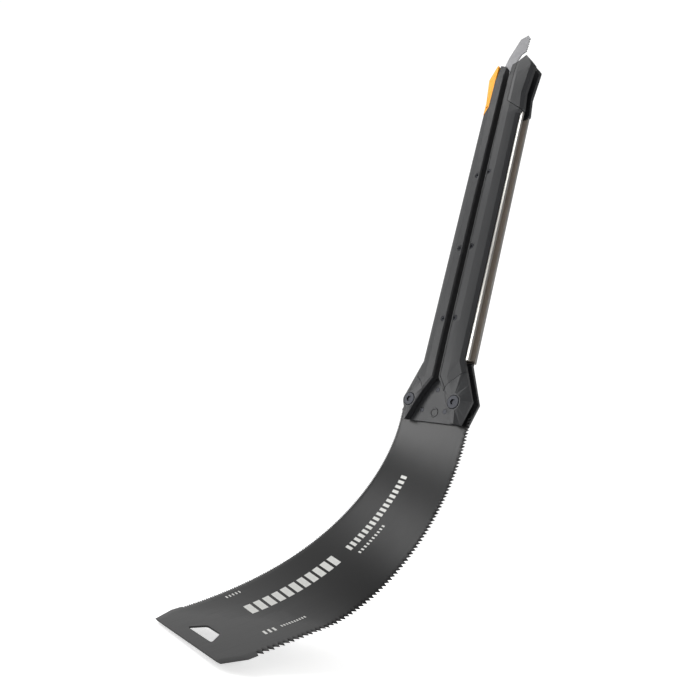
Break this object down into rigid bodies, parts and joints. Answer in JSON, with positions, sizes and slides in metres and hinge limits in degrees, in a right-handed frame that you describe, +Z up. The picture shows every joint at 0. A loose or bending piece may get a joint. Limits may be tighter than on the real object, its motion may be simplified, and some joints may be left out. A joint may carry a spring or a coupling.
{
  "type": "folding pull saw",
  "caption": "Double-edged pull saw whose thin flexing blade folds between two pivoting handle halves, with a small starter blade and a lock lever.",
  "frame": {"origin": "middle of the hub, midway between the two fold pivots, on the blade's middle plane", "axes": "+Z up the open handle, +X towards the coarse-toothed side, -Y is the front, towards which the blade flexes"},
  "size_m": [0.0887, 0.187, 0.5634],
  "materials": {
    "blade_steel": "black-coated spring steel, satin",
    "bright_steel": "bare steel strip, brushed",
    "blackened_steel": "blackened steel, satin",
    "dark_nylon": "dark grey glass-filled nylon, matt",
    "yellow_nylon": "yellow nylon, semi-matt"
  },
  "bodies": {
    "hub": {"blade_root": "blade_steel", "hub_front_plate": "dark_nylon", "hub_back_plate": "dark_nylon", "hub_rivet_1": "blackened_steel", "hub_rivet_2": "blackened_steel", "hub_rivet_3": "blackened_steel", "left_pivot_bush": "blackened_steel", "left_pivot_screw": "blackened_steel", "left_pivot_nut": "blackened_steel", "right_pivot_bush": "blackened_steel", "right_pivot_screw": "blackened_steel", "right_pivot_nut": "blackened_steel"},
    "left_half": {"left_front_shell": "dark_nylon", "left_back_shell": "dark_nylon", "left_front_lobe": "dark_nylon", "left_back_lobe": "dark_nylon", "left_front_rail": "bright_steel", "left_back_rail": "bright_steel", "left_screw_1": "blackened_steel", "left_screw_2": "blackened_steel", "left_screw_3": "blackened_steel", "left_nut_1": "blackened_steel", "left_nut_2": "blackened_steel", "left_nut_3": "blackened_steel", "lock_lever_pin": "blackened_steel", "lock_lever_spring": "blackened_steel", "starter_pin": "blackened_steel"},
    "right_half": {"right_front_shell": "dark_nylon", "right_back_shell": "dark_nylon", "right_front_lobe": "dark_nylon", "right_back_lobe": "dark_nylon", "right_front_rail": "bright_steel", "right_back_rail": "bright_steel", "right_front_cap": "dark_nylon", "right_back_cap": "dark_nylon", "right_screw_1": "blackened_steel", "right_screw_2": "blackened_steel", "right_screw_3": "blackened_steel", "right_nut_1": "blackened_steel", "right_nut_2": "blackened_steel", "right_nut_3": "blackened_steel"},
    "lock_lever": {"lock_lever": "yellow_nylon"},
    "starter_blade": {"starter_blade": "bright_steel"},
    "blade_1": {"blade_strip_1": "blade_steel"},
    "blade_2": {"blade_strip_2": "blade_steel"},
    "blade_3": {"blade_strip_3": "blade_steel"},
    "blade_4": {"blade_strip_4": "blade_steel"},
    "blade_5": {"blade_strip_5": "blade_steel"},
    "blade_6": {"blade_strip_6": "blade_steel"},
    "blade_7": {"blade_strip_7": "blade_steel"},
    "blade_8": {"blade_strip_8": "blade_steel"},
    "blade_9": {"blade_strip_9": "blade_steel"}
  },
  "joints": [
    {"name": "left_fold", "type": "hinge", "parent": "hub", "child": "left_half", "pos_m": [-0.0232, 0, 0], "axis": [0, -1, 0], "range_deg": [0, 180]},
    {"name": "right_fold", "type": "hinge", "parent": "hub", "child": "right_half", "pos_m": [0.0232, 0, 0], "axis": [0, 1, 0], "range_deg": [0, 180]},
    {"name": "lever_press", "type": "hinge", "parent": "left_half", "child": "lock_lever", "pos_m": [-0.0164, 0, 0.2985], "axis": [0, 1, 0], "range_deg": [0, 1.5], "stiffness_Nm_per_rad": 4, "springref_deg": -5.73},
    {"name": "starter_fold", "type": "hinge", "parent": "left_half", "child": "starter_blade", "pos_m": [-0.007, 0, 0.333], "axis": [0, -1, 0], "range_deg": [0, 180]},
    {"name": "blade_flex_1", "type": "hinge", "parent": "hub", "child": "blade_1", "pos_m": [0, 0, -0.0294], "axis": [0.9963, 0, -0.0862], "range_deg": [0, 11.04]},
    {"name": "blade_flex_2", "type": "hinge", "parent": "blade_1", "child": "blade_2", "pos_m": [0.00004, -0.00486, -0.05443], "axis": [0.9778, -0.024, -0.208], "range_deg": [0, 10.46]},
    {"name": "blade_flex_3", "type": "hinge", "parent": "blade_2", "child": "blade_3", "pos_m": [0.00024, -0.01409, -0.0782], "axis": [0.9632, -0.0468, -0.2646], "range_deg": [0, 9.89]},
    {"name": "blade_flex_4", "type": "hinge", "parent": "blade_3", "child": "blade_4", "pos_m": [0.00077, -0.02711, -0.10012], "axis": [0.9633, -0.0468, -0.2645], "range_deg": [0, 9.31]},
    {"name": "blade_flex_5", "type": "hinge", "parent": "blade_4", "child": "blade_5", "pos_m": [0.00177, -0.04336, -0.11975], "axis": [0.9759, -0.0059, -0.2183], "range_deg": [0, 8.74]},
    {"name": "blade_flex_6", "type": "hinge", "parent": "blade_5", "child": "blade_6", "pos_m": [0.00333, -0.06229, -0.13676], "axis": [0.9865, 0.0892, -0.137], "range_deg": [0, 8.16]},
    {"name": "blade_flex_7", "type": "hinge", "parent": "blade_6", "child": "blade_7", "pos_m": [0.00549, -0.08338, -0.15093], "axis": [0.9691, 0.2447, -0.0322], "range_deg": [0, 7.59]},
    {"name": "blade_flex_8", "type": "hinge", "parent": "blade_7", "child": "blade_8", "pos_m": [0.00816, -0.1061, -0.1622], "axis": [0.8876, 0.4535, 0.0802], "range_deg": [0, 7.01]},
    {"name": "blade_flex_9", "type": "hinge", "parent": "blade_8", "child": "blade_9", "pos_m": [0.01114, -0.12992, -0.17079], "axis": [0.7042, 0.6873, 0.1781], "range_deg": [0, 6.43]}
  ],
  "couplings": [
    {"joint": "right_fold", "follows": "left_fold", "ratio": 1},
    {"joint": "blade_flex_1", "follows": "left_fold", "ratio": 0.061323},
    {"joint": "blade_flex_2", "follows": "left_fold", "ratio": 0.058126},
    {"joint": "blade_flex_3", "follows": "left_fold", "ratio": 0.05493},
    {"joint": "blade_flex_4", "follows": "left_fold", "ratio": 0.051733},
    {"joint": "blade_flex_5", "follows": "left_fold", "ratio": 0.048536},
    {"joint": "blade_flex_6", "follows": "left_fold", "ratio": 0.045339},
    {"joint": "blade_flex_7", "follows": "left_fold", "ratio": 0.042142},
    {"joint": "blade_flex_8", "follows": "left_fold", "ratio": 0.038946},
    {"joint": "blade_flex_9", "follows": "left_fold", "ratio": 0.035749}
  ]
}
